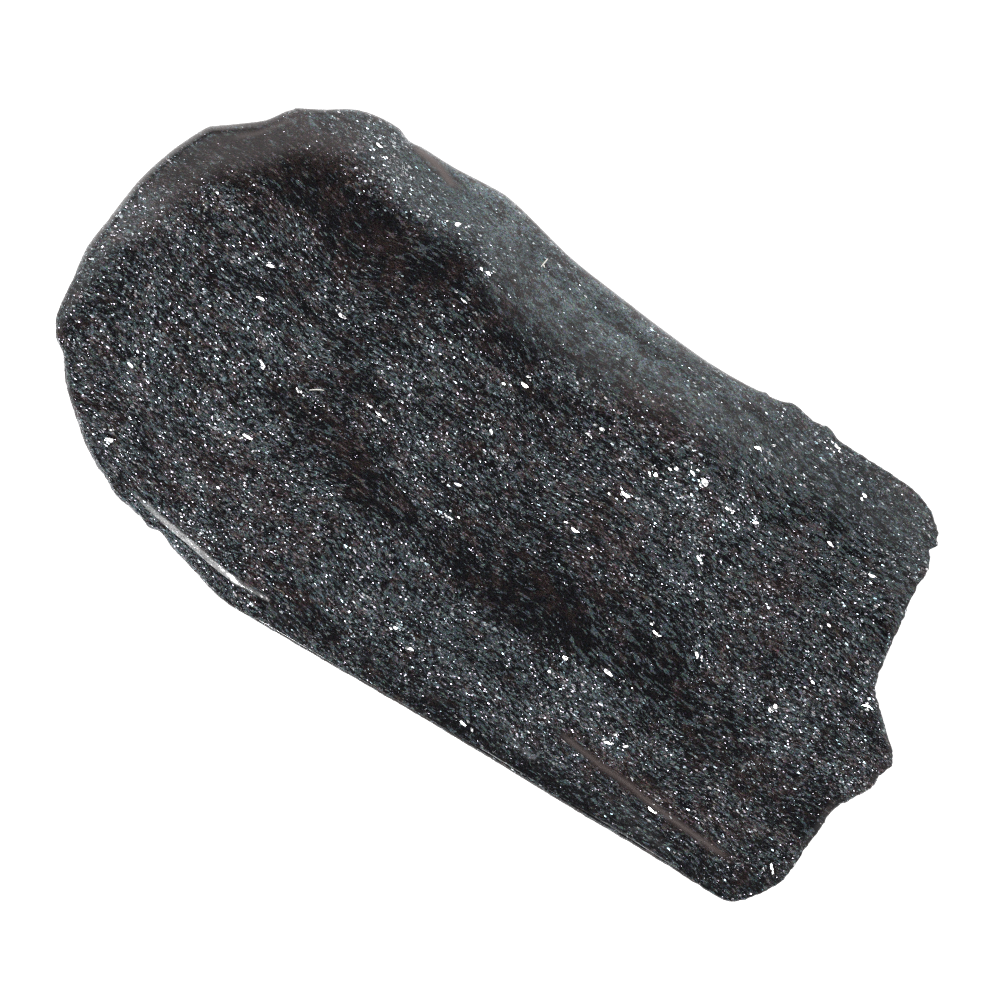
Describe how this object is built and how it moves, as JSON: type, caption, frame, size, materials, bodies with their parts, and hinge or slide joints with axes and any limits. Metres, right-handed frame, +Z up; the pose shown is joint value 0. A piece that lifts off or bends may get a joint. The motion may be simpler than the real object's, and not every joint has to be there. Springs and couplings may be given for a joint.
{
  "type": "specular hematite slab",
  "caption": "Free-form slab of specular hematite, polished on top with a rounded end, bevelled long edges and a rough broken end.",
  "frame": {"origin": "on the flat base, at the middle of the slab's length and width", "axes": "+X along the slab, from the round end to the broken end; +Y across it, towards the wide polished bevel; +Z up out of the polished top"},
  "size_m": [0.076, 0.0392, 0.009],
  "materials": {
    "hematite": "glassy polish over near-black stone packed with fine blue-grey metallic flakes, a few of them bright; rough on the broken end"
  },
  "bodies": {
    "root": {"specular_hematite": "hematite"}
  },
  "joints": []
}
